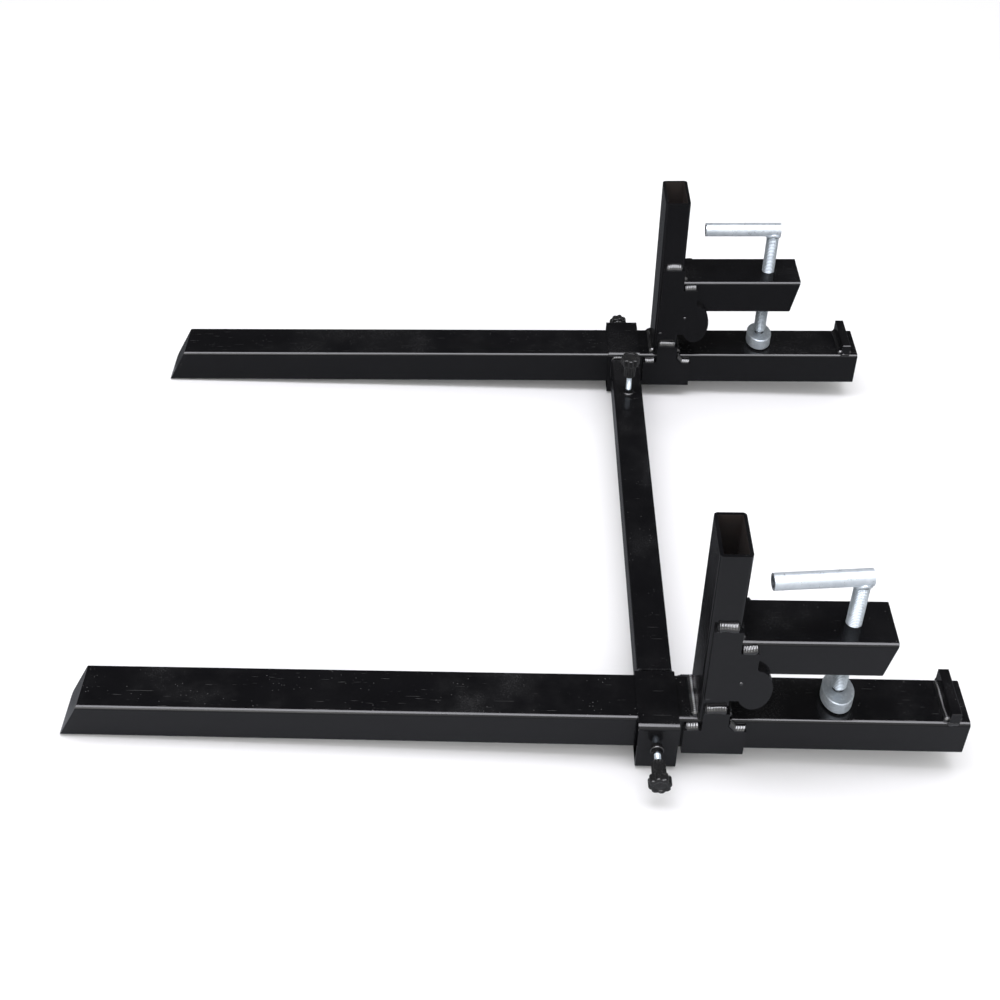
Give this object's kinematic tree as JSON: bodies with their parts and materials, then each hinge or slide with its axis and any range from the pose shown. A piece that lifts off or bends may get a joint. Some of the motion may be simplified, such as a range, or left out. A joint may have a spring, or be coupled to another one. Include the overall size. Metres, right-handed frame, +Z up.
{
  "type": "pallet fork attachment",
  "caption": "Clamp-on pallet forks for a loader bucket: box-tube forks with uprights and screw clamps, joined by a telescoping stabilizer bar on sliding sleeves.",
  "frame": {"origin": "midway between the forks, level with their undersides, at the uprights' rear faces", "axes": "-X towards the fork tips, +X towards the loader, +Y to the operator's right-hand fork, +Z up"},
  "size_m": [1.092, 0.9426, 0.3405],
  "materials": {
    "black_paint": "gloss",
    "zinc_plate": "dull zinc",
    "bright_zinc": "bright zinc, satin",
    "knob_plastic": "matte",
    "spring_steel": "dark spring steel"
  },
  "bodies": {
    "left_fork": {"left_fork_tube": "black_paint", "left_tip_cap": "black_paint", "left_post": "black_paint", "left_clamp_arm": "black_paint", "left_upper_side_plates": "black_paint", "left_lower_side_plates": "black_paint", "left_lip_bar": "black_paint", "left_thread_bush": "zinc_plate"},
    "left_pad_carrier": {"left_pad_ring": "spring_steel"},
    "left_pad": {"left_swivel_pad": "zinc_plate"},
    "left_screw": {"left_clamp_screw": "bright_zinc", "left_screw_handle": "bright_zinc"},
    "right_fork": {"right_fork_tube": "black_paint", "right_tip_cap": "black_paint", "right_post": "black_paint", "right_clamp_arm": "black_paint", "right_upper_side_plates": "black_paint", "right_lower_side_plates": "black_paint", "right_lip_bar": "black_paint", "right_thread_bush": "zinc_plate"},
    "right_pad_carrier": {"right_pad_ring": "spring_steel"},
    "right_pad": {"right_swivel_pad": "zinc_plate"},
    "right_screw": {"right_clamp_screw": "bright_zinc", "right_screw_handle": "bright_zinc"},
    "stabilizer": {"stabilizer_tube": "black_paint", "left_collar": "black_paint", "left_lock_nut": "black_paint", "bar_lock_nut": "black_paint"},
    "stabilizer_slider": {"stabilizer_inner_tube": "black_paint", "right_collar": "black_paint", "right_lock_nut": "black_paint"},
    "left_lock_shank": {"left_lock_stud": "bright_zinc"},
    "left_lock_grip": {"left_lock_knob": "knob_plastic"},
    "right_lock_shank": {"right_lock_stud": "bright_zinc"},
    "right_lock_grip": {"right_lock_knob": "knob_plastic"},
    "bar_lock_shank": {"bar_lock_stud": "bright_zinc"},
    "bar_lock_grip": {"bar_lock_knob": "knob_plastic"}
  },
  "joints": [
    {"name": "left_sleeve_slide", "type": "slide", "parent": "left_fork", "child": "stabilizer", "axis": [1, 0, 0], "range_m": [-0.66, 0.005]},
    {"name": "bar_telescope", "type": "slide", "parent": "stabilizer", "child": "stabilizer_slider", "axis": [0, 1, 0], "range_m": [-0.001, 0.35]},
    {"name": "right_sleeve_slide", "type": "slide", "parent": "stabilizer_slider", "child": "right_fork", "axis": [1, 0, 0], "range_m": [-0.005, 0.66]},
    {"name": "left_pad_lift", "type": "slide", "parent": "left_fork", "child": "left_pad_carrier", "axis": [0, 0, 1], "range_m": [-0.001, 0.0565]},
    {"name": "left_screw_turn", "type": "hinge", "parent": "left_pad_carrier", "child": "left_screw", "pos_m": [0.1305, -0.36325, 0.154], "axis": [0, 0, 1], "range_deg": [-144.1, 8136.1]},
    {"name": "left_pad_tilt", "type": "hinge", "parent": "left_pad_carrier", "child": "left_pad", "pos_m": [0.1305, -0.36325, 0.067], "axis": [1, 0, 0], "range_deg": [-4, 4]},
    {"name": "right_pad_lift", "type": "slide", "parent": "right_fork", "child": "right_pad_carrier", "axis": [0, 0, 1], "range_m": [-0.001, 0.0565]},
    {"name": "right_screw_turn", "type": "hinge", "parent": "right_pad_carrier", "child": "right_screw", "pos_m": [0.1305, 0.36325, 0.154], "axis": [0, 0, 1], "range_deg": [-144.1, 8136.1]},
    {"name": "right_pad_tilt", "type": "hinge", "parent": "right_pad_carrier", "child": "right_pad", "pos_m": [0.1305, 0.36325, 0.067], "axis": [1, 0, 0], "range_deg": [-4, 4]},
    {"name": "left_lock_travel", "type": "slide", "parent": "stabilizer", "child": "left_lock_shank", "axis": [0, -1, 0], "range_m": [0, 0.01]},
    {"name": "left_lock_turn", "type": "hinge", "parent": "left_lock_shank", "child": "left_lock_grip", "pos_m": [-0.081, -0.41475, 0.016], "axis": [0, -1, 0], "range_deg": [0, 2880.1]},
    {"name": "right_lock_travel", "type": "slide", "parent": "stabilizer_slider", "child": "right_lock_shank", "axis": [0, 1, 0], "range_m": [-0.00675, 0.006]},
    {"name": "right_lock_turn", "type": "hinge", "parent": "right_lock_shank", "child": "right_lock_grip", "pos_m": [-0.081, 0.41475, 0.016], "axis": [0, 1, 0], "range_deg": [-1944.1, 1728.1]},
    {"name": "bar_lock_travel", "type": "slide", "parent": "stabilizer", "child": "bar_lock_shank", "axis": [0, 0, 1], "range_m": [0, 0.005]},
    {"name": "bar_lock_turn", "type": "hinge", "parent": "bar_lock_shank", "child": "bar_lock_grip", "pos_m": [-0.0795, 0.238, 0.05], "axis": [0, 0, 1], "range_deg": [0, 1440.1]}
  ],
  "couplings": [
    {"joint": "left_screw_turn", "follows": "left_pad_lift", "rad_per_m": 2513.3},
    {"joint": "right_screw_turn", "follows": "right_pad_lift", "rad_per_m": 2513.3},
    {"joint": "left_lock_turn", "follows": "left_lock_travel", "rad_per_m": 5026.5},
    {"joint": "right_lock_turn", "follows": "right_lock_travel", "rad_per_m": 5026.5},
    {"joint": "bar_lock_turn", "follows": "bar_lock_travel", "rad_per_m": 5026.5}
  ]
}
